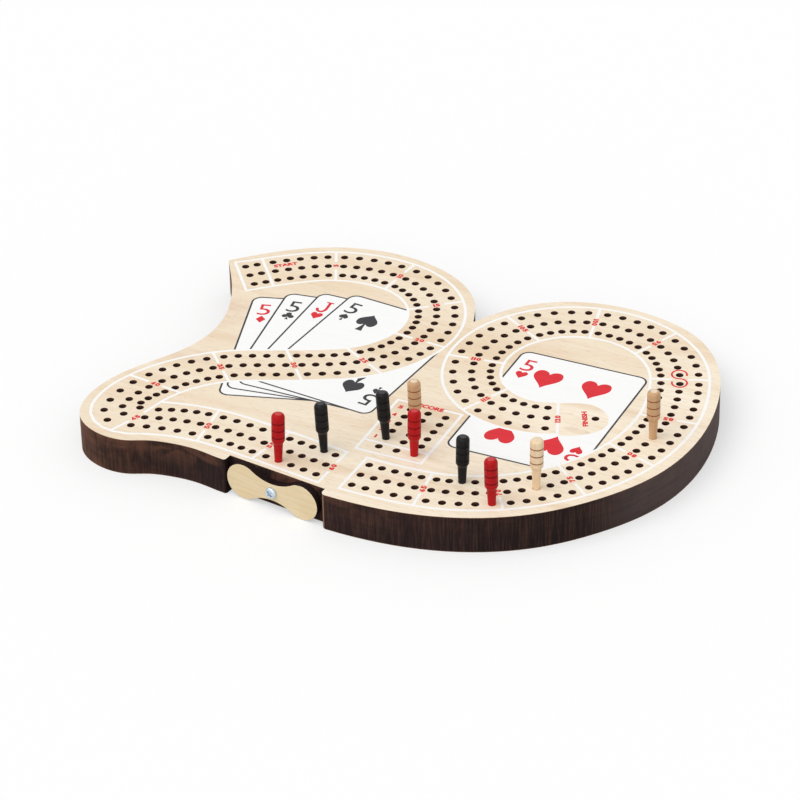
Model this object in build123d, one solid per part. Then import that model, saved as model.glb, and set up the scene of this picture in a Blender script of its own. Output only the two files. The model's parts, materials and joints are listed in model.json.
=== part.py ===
"""Three-lane cribbage board in the outline of the number 29, with a swivelling storage cover and nine pegs.

The drawing plane is the board's top seen from above, in millimetres. Every hole, the board's outline and
the storage recess are placed from the two tracks, one along each digit. The finished pieces are then moved
so that the origin is under the middle of the whole object.
"""
from build123d import *
import math
import os

# ---------------------------------------------------------------- driving dimensions (mm, degrees)
BOARD_THICKNESS = 15.875      # 5/8 inch maple
HOLE_DIAMETER = 3.175         # 1/8 inch peg holes
HOLE_DEPTH = 5.6
LANE_SPACING = 7.62           # between neighbouring lanes, across the track
HOLES_PER_GROUP = 5
GROUP_GAP = 1.15              # step from one group to the next, in hole pitches
SCORE_COLUMN_PITCH = 7.66
SCORE_ROW_PITCH = 5.7
SCORE_LAST_ROW_GAP = 6.5

# layout of the two digits: the tracks, pitches and points below are given for the drawn height
DIGIT_HEIGHT = 144.46         # of the middle lanes, over both digits
DRAWN_HEIGHT = 144.46
LAYOUT_SCALE = DIGIT_HEIGHT / DRAWN_HEIGHT
START_PITCH = 5.08            # between the two starting holes of a lane
START_GAP = 6.05              # from the second starting hole to hole 1
START_SKEW = -2.5             # of the starting rows, from square to the track

# the digit 2: middle lane from the first starting hole to hole 60
TWO_START = (-91.5, 45.45)
TWO_HEADING = 43.8
TWO_ARCS = [                  # radius, turn: positive to the left
    (152.9, -9.42), (52.9, -45.05), (36.6, -94.65), (45.3, -46.99), (376.0, -5.10),
    (56.8, 52.30), (28.9, 22.68), (6.28, 104.70), (84.0, -29.29), (1190.0, -2.08),
]
TWO_PITCHES = [5.69, 5.65, 5.68, 5.68, 5.41, 5.59, 5.79, 5.62, 5.84, 5.80, 5.74, 5.72]
TWO_FANS = [35.6, 26.5, -6.6, -50.2, -95.1, -119.4, -138.9, -136.2, -103.8, -20.2, 5.8, -12.2, -2.1]
TIGHT_TURN_GROUP = 9          # groups before the tight turn
TIGHT_TURN_EXTRA = 2.75       # extra step round that turn

# the digit 9: middle lane from hole 61 to hole 120
NINE_START = (18.35, -73.8)
NINE_HEADING = -2.2
NINE_ARCS = [
    (193.6, 6.82), (72.6, 25.09), (81.5, 70.03), (99.0, 12.38), (43.56, 71.87), (41.23, 108.58),
    (32.94, 86.78),
]
NINE_PITCHES = [5.76, 5.71, 5.75, 5.77, 5.82, 5.88, 5.81, 5.82, 5.95, 6.09, 6.21, 6.34]
NINE_FANS = [-1.6, 6.1, 32.5, 49.5, 70.5, 95.9, 110.5, 156.5, 191.8, 238.1, 277.4, 334.8, 384.6]
FINISH_HOLE = (86.0, -0.1)

# score block
SCORE_CORNER = (16.09, -23.35)
SCORE_COLUMNS = 3
SCORE_ROWS = 5

# where the outline leaves the margins
WAIST_POINT = (-84.6, 0.0)            # narrowest place on the left of the 2
CLEFT_POINT = (11.1, 48.3)            # where the tops of the two digits meet

# board outline: margins beyond the outer lane, by hole number
TWO_TOP_EDGE = {1: 8.35, 4: 8.45, 7: 8.5, 10: 8.3, 13: 8.55, 16: 8.7, 17: 8.1}
NINE_EDGE = {
    106: 8.55, 105: 8.75, 102: 8.6, 99: 8.0, 97: 8.2, 95: 9.05, 92: 8.7, 88: 8.6, 84: 8.9, 80: 9.3,
    76: 8.6, 72: 9.15, 68: 9.45, 65: 10.3, 62: 11.0,
}
TWO_BASE_EDGE = {
    53: 10.6, 51: 9.8, 49: 9.3, 48: 10.1, 47: 12.3, 46: 11.8, 44: 10.1, 43: 10.6, 41: 9.1, 39: 8.3, 37: 10.2,
}
START_OUTER_CORNER = (-4.9, 15.3)     # from the first middle starting hole: along, across
START_INNER_CORNER = (-7.5, 2.9)      # where its straight cut ends
START_HEEL = (-12.7, -15.2)           # where its edge turns down to the waist
OUTER_CORNER_RADIUS = 0.8

# storage recess in the front edge under the 2
RECESS_ANGLE = -8.1
RECESS_MARGIN = 6.6           # from the front lane to the recess floor
RECESS_DEPTH = 3.9
RECESS_END_GAPS = (0.4, 1.9)          # beyond the cover: left, right
RECESS_CORNER_RADII = (1.0, 2.2)      # left, right
PIVOT_FROM_HOLE_60 = -13.8    # along the recess
STORAGE_BORE_DIAMETER = 8.7   # two pegs side by side, head to tail
STORAGE_BORE_DEPTH = 86.0     # from the middle of its mouth, straight back

# swivel cover
COVER_LENGTH = 42.7
COVER_INSET = 0.19            # of its lobes, inside the board's two faces
COVER_WAIST = 7.6
COVER_THICKNESS = 3.175
COVER_GAP = 0.1               # behind the cover
COVER_TILT = -0.6             # as it was left in use
COVER_EDGE_RADIUS = 0.15

# pivot screw
SCREW_HEAD_DIAMETER = 4.8
SCREW_HEAD_HEIGHT = 1.6
SCREW_RIM_HEIGHT = 0.5        # straight part of the head, under its dome
SCREW_SHANK_DIAMETER = 2.8
SCREW_LENGTH = 12.7
SCREW_TIP_LENGTH = 2.2
SCREW_CLEARANCE = 0.05        # radial, in the cover and in the board, and under the head
DRIVE_WIDTH = 0.75
DRIVE_SPAN = 2.7
DRIVE_DEPTH = 1.0
DRIVE_ANGLE = 45.0

# pegs, measured up from the board's top where they are pushed right in
PEG_HEIGHT = 20.5
PEG_HEAD_DIAMETER = 5.3
PEG_DOME_HEIGHT = 1.9
PEG_FLAT_DIAMETER = 2.0       # sanded flat on the dome
PEG_SHOULDER_HEIGHT = 8.5
PEG_NECK_HEIGHT = 7.0
PEG_NECK_DIAMETER = 3.75
PEG_TIP_DIAMETER = 2.4
PEG_TIP_CLEARANCE = 0.1       # above the bottom of its hole
PEG_HOLE_CLEARANCE = 0.04     # radial, at the mouth of its hole
GROOVES = 3                   # evenly spaced on the straight part of the head
GROOVE_MARGINS = (1.9, 1.8)   # from the shoulder, from the dome
GROOVE_WIDTH = 0.5
GROOVE_DEPTH = 0.22
LEAN_DIRECTION = 26.0         # the pegs that lean do so this way, seen from above

# node, hole number or score place, lane (+1 left of travel, 0 middle, -1 right), lean, short of right in
PEGS = [
    ("peg_red_1", 57, -1, 1.6, 1.2),
    ("peg_red_2", 70, -1, -1.0, 0.0),
    ("peg_red_3", "score", (2, 5), 1.1, 0.0),
    ("peg_black_1", 59, 1, -2.0, 1.5),
    ("peg_black_2", 68, 1, 1.4, 0.4),
    ("peg_black_3", "score", (0, 4), -3.1, 0.9),
    ("peg_natural_1", 73, 0, 0.6, 2.0),
    ("peg_natural_2", 83, 0, 0.0, 1.1),
    ("peg_natural_3", "score", (1, 2), -1.3, 1.4),
]


# ---------------------------------------------------------------- tracks
def direction(angle):
    return (math.cos(math.radians(angle)), math.sin(math.radians(angle)))


def laid_out(point):
    """Point of the layout at the digits' height."""
    return (point[0] * LAYOUT_SCALE, point[1] * LAYOUT_SCALE)


def follow(start, heading, arcs, distance):
    """Point reached after a distance along tangent arcs."""
    x, y = laid_out(start)
    for index, (drawn_radius, turn) in enumerate(arcs):
        radius = drawn_radius * LAYOUT_SCALE
        length = radius * math.radians(abs(turn))
        side = math.copysign(1, turn)
        last = index == len(arcs) - 1
        travelled = distance if last else min(distance, length)
        after = heading + side * math.degrees(travelled / radius)
        x += side * radius * (direction(after)[1] - direction(heading)[1])
        y -= side * radius * (direction(after)[0] - direction(heading)[0])
        heading = after
        distance -= travelled
        if distance <= 0:
            break
    return (x, y)


def group_distances(first, pitches, extra_after=None, extra=0.0):
    """Distance of every hole along the middle lane, and its place between the group dividers."""
    distances = []
    places = []
    divider = first
    for group, drawn_pitch in enumerate(pitches):
        pitch = drawn_pitch * LAYOUT_SCALE
        for hole in range(HOLES_PER_GROUP):
            step = GROUP_GAP / 2 + hole
            distances.append(divider + step * pitch)
            places.append(group + step / (HOLES_PER_GROUP - 1 + GROUP_GAP))
        divider += (HOLES_PER_GROUP - 1 + GROUP_GAP) * pitch
        if group + 1 == extra_after:
            divider += extra * LAYOUT_SCALE
    return distances, places


def fan_angle(fans, place):
    """Direction that the row of three holes is square to, between two dividers."""
    place = max(place, 0.0)
    group = min(int(place), len(fans) - 2)
    return fans[group] + (fans[group + 1] - fans[group]) * (place - group)


def place_holes():
    """Every station as (point on the middle lane, unit vector to the left lane), by hole number."""
    stations = {}
    start_step = START_PITCH * LAYOUT_SCALE
    first_divider = (START_PITCH + START_GAP - GROUP_GAP * TWO_PITCHES[0] / 2) * LAYOUT_SCALE
    distances, places = group_distances(first_divider, TWO_PITCHES, TIGHT_TURN_GROUP, TIGHT_TURN_EXTRA)
    for number, distance in ((-1, 0.0), (0, start_step)):
        across = direction(TWO_HEADING + START_SKEW + 90)
        stations[number] = (follow(TWO_START, TWO_HEADING, TWO_ARCS, distance), across)
    for number, (distance, place) in enumerate(zip(distances, places), start=1):
        across = direction(fan_angle(TWO_FANS, place) + 90)
        stations[number] = (follow(TWO_START, TWO_HEADING, TWO_ARCS, distance), across)
    first_divider = -GROUP_GAP * NINE_PITCHES[0] / 2 * LAYOUT_SCALE
    distances, places = group_distances(first_divider, NINE_PITCHES)
    for number, (distance, place) in enumerate(zip(distances, places), start=61):
        across = direction(fan_angle(NINE_FANS, place) + 90)
        stations[number] = (follow(NINE_START, NINE_HEADING, NINE_ARCS, distance), across)
    return stations


STATIONS = place_holes()


def beside(number, offset):
    """Point at a distance to the left of the middle lane at a hole number."""
    (x, y), (across_x, across_y) = STATIONS[number]
    return (x + across_x * offset, y + across_y * offset)


def score_hole(column, row):
    """Centre of a score hole; row 5 is the separate last row."""
    x, y = laid_out(SCORE_CORNER)
    x += column * SCORE_COLUMN_PITCH
    y -= min(row, SCORE_ROWS - 1) * SCORE_ROW_PITCH
    if row == SCORE_ROWS:
        y -= SCORE_LAST_ROW_GAP
    return (x, y)


def all_holes():
    lanes = (LANE_SPACING, 0.0, -LANE_SPACING)
    holes = [beside(number, lane) for number in STATIONS for lane in lanes]
    holes += [score_hole(column, row) for column in range(SCORE_COLUMNS) for row in range(SCORE_ROWS + 1)]
    return holes + [laid_out(FINISH_HOLE)]


# ---------------------------------------------------------------- recess and its pivot
RECESS_ALONG = direction(RECESS_ANGLE)
RECESS_OUT = direction(RECESS_ANGLE - 90)
COVER_LOBE_RADIUS = BOARD_THICKNESS / 2 - COVER_INSET
LOBE_OFFSET = COVER_LENGTH / 2 - COVER_LOBE_RADIUS
RECESS_LEFT, RECESS_RIGHT = (
    side * (COVER_LENGTH / 2 + gap) for side, gap in zip((-1, 1), RECESS_END_GAPS)
)


def from_point(point, along, out):
    """Point on the drawing plane, away from another along the recess floor and out of it."""
    return (
        point[0] + RECESS_ALONG[0] * along + RECESS_OUT[0] * out,
        point[1] + RECESS_ALONG[1] * along + RECESS_OUT[1] * out,
    )


PIVOT = from_point(STATIONS[60][0], PIVOT_FROM_HOLE_60, LANE_SPACING + RECESS_MARGIN)


def recess_point(along, out):
    """Point on the drawing plane from the pivot, along the recess floor and out of it."""
    return from_point(PIVOT, along, out)


def recess_plane(along, out, height):
    """Plane parallel to the recess floor, with X along it, Y up and Z out of the board."""
    x, y = recess_point(along, out)
    return Plane(origin=(x, y, height), x_dir=(*RECESS_ALONG, 0), z_dir=(*RECESS_OUT, 0))


# ---------------------------------------------------------------- board
def start_corner(offset):
    """Corner of the board's start end, from the first middle starting hole."""
    along, across = offset
    (x, y), _ = STATIONS[-1]
    ahead = direction(TWO_HEADING)
    left = direction(TWO_HEADING + 90)
    return (x + ahead[0] * along + left[0] * across, y + ahead[1] * along + left[1] * across)


def board_outline():
    """Closed outline, clockwise from the outer corner of the start end."""
    outer_corner = start_corner(START_OUTER_CORNER)
    inner_corner = start_corner(START_INNER_CORNER)
    heel = start_corner(START_HEEL)
    waist = laid_out(WAIST_POINT)
    cleft = laid_out(CLEFT_POINT)
    recess_left = recess_point(RECESS_LEFT, RECESS_DEPTH)
    recess_right = recess_point(RECESS_RIGHT, RECESS_DEPTH)
    two_top = [beside(number, LANE_SPACING + margin) for number, margin in TWO_TOP_EDGE.items()]
    nine = [beside(number, -LANE_SPACING - margin) for number, margin in NINE_EDGE.items()]
    base = [beside(number, -LANE_SPACING - margin) for number, margin in TWO_BASE_EDGE.items()]
    return [
        Spline(outer_corner, *two_top, cleft),
        Spline(cleft, *nine, recess_right),
        Polyline(recess_right, recess_point(RECESS_RIGHT, 0), recess_point(RECESS_LEFT, 0), recess_left),
        Spline(recess_left, *base, waist, heel, inner_corner),
        Line(inner_corner, outer_corner),
    ]


def make_board():
    outline = make_face(board_outline())
    plate = extrude(outline, BOARD_THICKNESS)

    def corner_at(point):
        corners = plate.edges().filter_by(Axis.Z)
        return corners.sort_by(lambda edge: math.dist((edge.center().X, edge.center().Y), point))[0]

    for along, radius in zip((RECESS_LEFT, RECESS_RIGHT), RECESS_CORNER_RADII):
        plate = fillet(corner_at(recess_point(along, RECESS_DEPTH)), radius)
    plate = fillet(corner_at(start_corner(START_OUTER_CORNER)), OUTER_CORNER_RADIUS)

    hole = Cylinder(HOLE_DIAMETER / 2, HOLE_DEPTH, align=(Align.CENTER, Align.CENTER, Align.MAX))
    cutters = [Pos(x, y, BOARD_THICKNESS) * hole for x, y in all_holes()]
    bore = Cylinder(STORAGE_BORE_DIAMETER / 2, STORAGE_BORE_DEPTH + RECESS_DEPTH,
                    align=(Align.CENTER, Align.CENTER, Align.MAX))
    bore_height = (BOARD_THICKNESS - HOLE_DEPTH) / 2
    for side in (-1, 1):
        x, y = recess_point(side * LOBE_OFFSET, 0)
        cutters.append(Pos(x, y - RECESS_DEPTH, bore_height) * Rot(90, 0, 0) * bore)
    pilot_depth = SCREW_LENGTH - COVER_THICKNESS - COVER_GAP + SCREW_CLEARANCE
    pilot = Cylinder(SCREW_SHANK_DIAMETER / 2 + SCREW_CLEARANCE, pilot_depth,
                     align=(Align.CENTER, Align.CENTER, Align.MAX))
    cutters.append(recess_plane(0, 0, BOARD_THICKNESS / 2) * pilot)
    return plate - cutters


# ---------------------------------------------------------------- cover and screw
def make_cover():
    """Two round lobes joined by a narrow waist, bored for the pivot screw."""
    lobe = COVER_LOBE_RADIUS
    waist = COVER_WAIST / 2
    flank_radius = (LOBE_OFFSET ** 2 + waist ** 2 - lobe ** 2) / (2 * (lobe - waist))
    flank_centre = waist + flank_radius
    share = flank_radius / (flank_radius + lobe)
    lobes = [Pos(side * LOBE_OFFSET, 0) * Circle(lobe) for side in (-1, 1)]
    web = Rectangle(2 * LOBE_OFFSET * share, 2 * flank_centre * (1 - share))
    flanks = [Pos(0, side * flank_centre) * Circle(flank_radius) for side in (-1, 1)]
    profile = (web - flanks) + lobes
    profile -= Circle(SCREW_SHANK_DIAMETER / 2 + SCREW_CLEARANCE)
    cover = extrude(profile, COVER_THICKNESS)
    front_edges = cover.faces().sort_by(Axis.Z)[-1].outer_wire().edges()
    cover = fillet(front_edges, COVER_EDGE_RADIUS)
    return recess_plane(0, COVER_GAP, BOARD_THICKNESS / 2) * Rot(0, 0, COVER_TILT) * cover


def make_screw():
    """Pan-head screw with a cross drive, pointing into the board."""
    head_radius = SCREW_HEAD_DIAMETER / 2
    shank_radius = SCREW_SHANK_DIAMETER / 2
    with BuildPart() as screw:
        with BuildSketch(Plane.XZ):
            with BuildLine():
                point = (0, -SCREW_LENGTH)
                tip_base = (shank_radius, -SCREW_LENGTH + SCREW_TIP_LENGTH)
                rim = (head_radius, SCREW_RIM_HEIGHT)
                crown = (0, SCREW_HEAD_HEIGHT)
                Polyline(point, tip_base, (shank_radius, 0), (head_radius, 0), rim)
                Spline(rim, crown, tangents=((0, 1), (-1, 0)))
                Line(crown, point)
            make_face()
        revolve(axis=Axis.Z)
        with Locations((0, 0, SCREW_HEAD_HEIGHT)):
            for turn in (0, 90):
                slot_angle = (0, 0, DRIVE_ANGLE + turn)
                Box(DRIVE_SPAN, DRIVE_WIDTH, 2 * DRIVE_DEPTH, rotation=slot_angle, mode=Mode.SUBTRACT)
    seat = COVER_GAP + COVER_THICKNESS + SCREW_CLEARANCE
    return recess_plane(0, seat, BOARD_THICKNESS / 2) * screw.part


# ---------------------------------------------------------------- pegs
def make_peg():
    """Turned peg standing on the drawing plane, with its tapered end below it."""
    head = PEG_HEAD_DIAMETER / 2
    mouth = HOLE_DIAMETER / 2 - PEG_HOLE_CLEARANCE
    tip_depth = HOLE_DEPTH - PEG_TIP_CLEARANCE
    dome_base = PEG_HEIGHT - PEG_DOME_HEIGHT
    first_groove = PEG_SHOULDER_HEIGHT + GROOVE_MARGINS[0]
    groove_pitch = (dome_base - GROOVE_MARGINS[1] - first_groove) / (GROOVES - 1)
    with BuildPart() as peg:
        with BuildSketch(Plane.XZ):
            with BuildLine():
                outline = [
                    (0, -tip_depth),
                    (PEG_TIP_DIAMETER / 2, -tip_depth),
                    (mouth, 0),
                    (PEG_NECK_DIAMETER / 2, PEG_NECK_HEIGHT),
                    (head, PEG_SHOULDER_HEIGHT),
                ]
                for groove in range(GROOVES):
                    height = first_groove + groove * groove_pitch
                    outline += [
                        (head, height - GROOVE_WIDTH / 2),
                        (head - GROOVE_DEPTH, height),
                        (head, height + GROOVE_WIDTH / 2),
                    ]
                outline.append((head, dome_base))
                Polyline(outline)
                flat = (PEG_FLAT_DIAMETER / 2, PEG_HEIGHT)
                Spline((head, dome_base), flat, tangents=((0, 1), (-1, 0)))
                Polyline(flat, (0, PEG_HEIGHT), (0, -tip_depth))
            make_face()
        revolve(axis=Axis.Z)
    return peg.part


def place_pegs(peg):
    """Each peg in its hole, leaning and pushed in as it was left."""
    pegs = {}
    lean_x, lean_y = direction(LEAN_DIRECTION)
    for node, number, lane, lean, short in PEGS:
        x, y = score_hole(*lane) if number == "score" else beside(number, lane * LANE_SPACING)
        mouth = Pos(x, y, BOARD_THICKNESS)
        raised = Pos(0, 0, short) * peg
        tilted = raised.rotate(Axis((0, 0, 0), (-lean_y, lean_x, 0)), lean)
        pegs[node] = mouth * tilted
    return pegs


# ---------------------------------------------------------------- assembly
def build():
    nodes = {"board": make_board(), "storage_cover": make_cover(), "pivot_screw": make_screw()}
    nodes.update(place_pegs(make_peg()))
    boxes = [shape.bounding_box() for shape in nodes.values()]
    low = [min(tuple(box.min)[axis] for box in boxes) for axis in range(3)]
    high = [max(tuple(box.max)[axis] for box in boxes) for axis in range(3)]
    to_origin = Pos(-(low[0] + high[0]) / 2, -(low[1] + high[1]) / 2, -low[2])
    return {node: to_origin * shape for node, shape in nodes.items()}, to_origin


def main():
    os.makedirs("parts", exist_ok=True)
    nodes, to_origin = build()
    for node, shape in nodes.items():
        export_step(shape, f"parts/{node}.step")
        size = shape.bounding_box().size
        print(f"{node}: {size.X:.2f} x {size.Y:.2f} x {size.Z:.2f} mm, {shape.volume:.0f} mm3")
    shift = to_origin.position
    print(f"drawing plane moved by {shift.X:.3f}, {shift.Y:.3f}, {shift.Z:.3f}")


main()
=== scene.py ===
"""Looks of a three-lane cribbage board in the outline of the number 29, with its swivelling cover and pegs.

Drawing coordinates are millimetres on the board's top, as its tracks are laid out. on_board() turns them into
the model's frame, in metres. A card's own coordinates are millimetres from its middle.
"""

import json
import math

import bmesh
import bpy
from mathutils import Matrix, Vector
from mathutils.geometry import delaunay_2d_cdt
from mathutils.kdtree import KDTree


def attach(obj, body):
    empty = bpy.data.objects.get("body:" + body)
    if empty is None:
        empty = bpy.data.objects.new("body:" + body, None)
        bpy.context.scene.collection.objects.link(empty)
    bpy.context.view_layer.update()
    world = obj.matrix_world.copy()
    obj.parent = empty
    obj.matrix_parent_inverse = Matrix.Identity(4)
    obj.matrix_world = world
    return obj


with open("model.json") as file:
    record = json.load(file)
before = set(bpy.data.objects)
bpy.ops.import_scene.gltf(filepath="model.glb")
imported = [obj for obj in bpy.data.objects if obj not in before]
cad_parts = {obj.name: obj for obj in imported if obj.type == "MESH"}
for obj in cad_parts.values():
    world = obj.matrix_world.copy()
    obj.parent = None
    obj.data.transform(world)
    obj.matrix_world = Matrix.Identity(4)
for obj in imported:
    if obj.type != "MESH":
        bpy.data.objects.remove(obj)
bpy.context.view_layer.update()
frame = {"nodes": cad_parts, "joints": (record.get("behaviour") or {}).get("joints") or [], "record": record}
MM = 0.001

# ---------------------------------------------------------------- camera and light
CAMERA_TARGET = (-0.0128, 0.0071, 0.0)
CAMERA_AZIMUTH = 26.0         # degrees, from the front towards the right
CAMERA_ELEVATION = 32.23
CAMERA_ROLL = -1.245
CAMERA_DISTANCE = 1.4771
CAMERA_LENS = 162.9           # mm, on a 36 mm sensor
WORLD_LEVEL = 0.58
KEY_LEVEL = 1.22
KEY_PLACE = (-0.5, -0.55, 1.2)
KEY_SPREAD = 50.0             # degrees
FILL_LEVEL = 0.6
FILL_PLACE = (0.55, -1.0, 0.45)
FILL_SPREAD = 70.0
FLOOR_SIZE = 8.0
FLOOR_GLOW = 0.49

# ---------------------------------------------------------------- tracks, as laid out (mm, degrees)
HOLES_PER_GROUP = 5
GROUP_GAP = 1.15              # step from one group to the next, in hole pitches
TWO_FIRST_DIVIDER = 7.86      # from the first starting hole
TWO_START = (-91.5, 45.45)
TWO_HEADING = 43.8
TWO_ARCS = [                  # radius, turn: positive to the left
    (152.9, -9.42), (52.9, -45.05), (36.6, -94.65), (45.3, -46.99), (376.0, -5.10),
    (56.8, 52.30), (28.9, 22.68), (6.28, 104.70), (84.0, -29.29), (1190.0, -2.08),
]
TWO_PITCHES = [5.69, 5.65, 5.68, 5.68, 5.41, 5.59, 5.79, 5.62, 5.84, 5.80, 5.74, 5.72]
TWO_FANS = [38.9, 25.6, -6.6, -50.2, -95.1, -119.4, -138.9, -136.2, -98.5, -20.2, 5.8, -12.2, -2.1]
TIGHT_TURN_GROUP = 9          # groups before the tight turn
TIGHT_TURN_EXTRA = 2.75       # extra step round that turn
NINE_FIRST_DIVIDER = -3.31    # from hole 61
NINE_START = (18.35, -73.8)
NINE_HEADING = -2.2
NINE_ARCS = [
    (193.6, 6.82), (72.6, 25.09), (81.5, 70.03), (99.0, 12.38), (43.56, 71.87), (41.23, 108.58),
    (32.94, 86.78),
]
NINE_PITCHES = [5.76, 5.71, 5.75, 5.77, 5.82, 5.88, 5.81, 5.82, 5.95, 6.09, 6.21, 6.49]
NINE_FANS = [-1.6, 6.1, 32.5, 49.5, 70.5, 95.9, 110.5, 156.5, 191.8, 238.1, 277.4, 334.8, 382.2]
FINISH_HOLE = (86.0, -0.1)

# ---------------------------------------------------------------- prints
BORDER_OFFSET = 11.9          # of the white borders from the middle lane
LINE_WIDTH = 1.15
LINE_STEP = 2.0               # between points along a border
NUMBER_HEIGHT = 2.3
NUMBER_BOLD = 0.06            # added round each digit, of the letter size
DIGIT_WIDTH = 1.9
ONE_WIDTH = 0.8
DIGIT_SPACE = 0.27
FOUR_STROKES = [              # stem, slope and bar of the 4
    [(0.38, 1.15), (0.38, -1.15)], [(0.42, 1.0), (-0.72, -0.44)], [(-0.92, -0.44), (0.92, -0.44)],
]
FOUR_STROKE = 0.56            # width of its strokes
NUMBER_SHIFTS = {             # of the number and its break, along the divider
    5: 0.4, 10: 0.5, 15: 0.4, 25: -0.5, 45: -0.5, 50: -0.3,
    75: 0.6, 80: -0.5, 95: -0.3, 100: -0.6, 120: -0.75,
}
DIVIDER_GAP = 3.3             # half the break in a divider for its number
START_CORNERS = ((-102.3, 52.7), (-87.0, 33.4))
TWO_INNER_END = (-80.4, -68.0)        # where the digit 2's inner border meets divider 45
TIGHT_DIVIDER_REACH = 13.2    # of divider 45, from the middle lane
TWO_INNER_FROM = 3.0          # distances along the middle lane
TWO_INNER_STOP = 251.0
TWO_BASE_FROM = 280.0
BULGE_SPAN = (212.0, 288.0)   # of the digit 2's outer border, round its tight turn
BULGE = 0.7
INNER_REACH = 0.9             # of a turn's radius, where the band over the lanes stops on its inner side
FINISH_LOBE = [(68.3, 4.8), (72.6, 6.6), (76.2, 8.0), (79.5, 8.6), (82.2, 8.5), (85.5, 7.3), (89.1, 4.4),
               (91.4, 0.4), (92.0, -3.2), (91.0, -7.3), (88.4, -10.8), (85.0, -13.7), (81.0, -15.7),
               (77.0, -17.3)]
BARE_SPOT = ((9.6, 41.6), 3.4)        # wood beside the border, where a card's corner would show
SCORE_BOX = (8.3, -57.4, 36.5, -18.6)
SCORE_SEPARATOR = -50.0
SCORE_LABEL_SPAN = (17.2, 28.9)
SCORE_LABEL_X = 11.7
SCORE_LABELS = [("5", -23.2), ("4", -29.0), ("3", -34.8), ("2", -40.5), ("1", -46.3)]

# playing cards
CARD_WIDTH = 55.5
CARD_HEIGHT = 78.1
CARD_CORNER = 4.3
CARD_LINE = 0.78
FAN = [                       # suit, index, middle, tilt: from the lowest card up
    ("diamond", "5", (-44.4, 0.87), 16.5),
    ("club", "5", (-37.7, 3.87), 7.65),
    ("heart", "J", (-29.75, 5.65), 0.0),
    ("spade", "5", (-21.1, 7.35), -5.8),
]
LONE_CARD = ("heart", "5", (66.95, -2.85), 0.0)
INDEX_PLACE = (-21.15, 28.8)
INDEX_SIZE = {"5": (5.3, 8.5), "J": (5.5, 8.5)}
JACK_STEM = [(0.20, 0.45), (0.26, 0.0), (0.27, -0.20), (0.17, -0.39), (-0.04, -0.46), (-0.28, -0.40),
             (-0.43, -0.20)]
JACK_STROKE = 1.25
JACK_SERIF = [(-0.10, 0.46), (0.50, 0.46)]
JACK_SERIF_STROKE = 0.8
SMALL_PIP_PLACE = (-21.3, 21.1)
SMALL_PIPS = {"heart": (5.1, 5.4), "spade": (4.0, 5.4), "club": (5.2, 5.6), "diamond": (4.1, 5.5)}
BIG_PIP_PLACE = (10.5, 21.7)
BIG_PIPS = {"heart": (12.3, 13.3), "spade": (9.1, 13.3)}

# words, each with its width and height, middle and reading direction
WORDS = [
    ("START", (10.2, 2.3), (-81.6, 59.4), 38.5),
    ("FINISH", (11.0, 2.2), (82.2, -1.9), 116.0),
    ("SCORE", (10.9, 2.5), (23.1, -18.9), 0.0),
]
WORD_BOLD = 0.05
SKUNK_HOLE = 90               # marked with an S instead of its number
SKUNK_MIDDLE = (105.35, 41.1)
SKUNK_BOW = (3.07, 3.22)      # half the width and height of each bow of the S
SKUNK_SPAN = (-19.0, 270.0)   # of its upper bow, from its free end to the middle of the S
SKUNK_STEPS = 30
SKUNK_TILT = 21.8
SKUNK_LINE = 0.75

# holes and pegs
HOLE_DIAMETER = 3.175
HOLE_DEPTH = 5.6
PEG_DEPTH = 5.5               # of a peg's end below the board's top
PEG_HEAD_DIAMETER = 5.3
PEG_HEIGHT = 20.5
PEG_TOP_DIAMETER = 2.7        # of the painted highlight at the end of its dome
PEG_TOP_DEPTH = 0.5
BROWN_PEGS = ("peg_natural_2", "peg_natural_3")
GROOVE_HEIGHTS = (10.4, 13.6, 16.8)
GROOVE_WIDTH = 0.52
GROOVE_DEPTH = 0.02           # least depth of a face that counts as a groove's

# storage recess and bores
RECESS_SPAN = (-22.5, 24.0)   # of the recess along its floor, from the cover's screw
RECESS_DEPTH = 3.85
RECESS_BEHIND = 1.0           # how far behind its floor a face still counts as the recess's
SANDED_CORNER = (10.5, -91.9)         # bare wood where its right wall turns to the front edge
SANDED_REACH = 1.0
BORE_MARGIN = 1.45 * MM       # from an opening's box to the wall of its bore

# which faces are meant: how close to a plane, and how square to a direction
FACE_TOLERANCE = 0.1 * MM
SQUARE = 0.9
COVER_EDGE_SQUARE = 0.6

# stains in the wood, and stretches of the scorched edge along X (m), the grey one at the right end a painted
# sheen
KNOTS = [                     # pinkish: place, half length and width along X, strength
    ((82.5, -11.0), 6.5, 2.6, 0.5),
    ((-86.0, 14.0), 13.0, 15.0, 0.22),
    ((-84.0, -22.0), 16.0, 8.0, 0.16),
]
BROWN_END = (-0.104, -0.070)
PATCHY_END = (-0.03, 0.05)
DARK_FRONT = (0.040, 0.070)
SHEEN_GREY_END = (0.092, 0.114)

# heights of the prints above the board's top
WHITE_HEIGHT = 0.02
INK_HEIGHT = 0.035
PRINT_SINK = 0.01

# triangulation of overlapping outlines
INSIDE_ONLY = 1               # no triangles outside the outlines
WELD = 1e-4                   # points closer than this become one

mounts = {mount["name"]: mount for mount in frame["record"]["mounts"]}
finish_mouth = mounts["finish_peg_hole"]["pos_m"]
TOP = finish_mouth[2]
joints = {joint["name"]: joint for joint in frame["joints"]}
RECESS_OUT = Vector(joints["cover_swivel"]["axis"][:2])
PIVOT = Vector(joints["cover_swivel"]["pos_m"][:2])


def on_board(point, height=0.0):
    """Point of the drawing in the model's frame, at a height in millimetres above the board's top."""
    x = finish_mouth[0] + (point[0] - FINISH_HOLE[0]) * MM
    y = finish_mouth[1] + (point[1] - FINISH_HOLE[1]) * MM
    return (x, y, TOP + height * MM)


def direction(angle):
    return Vector((math.cos(math.radians(angle)), math.sin(math.radians(angle))))


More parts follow.
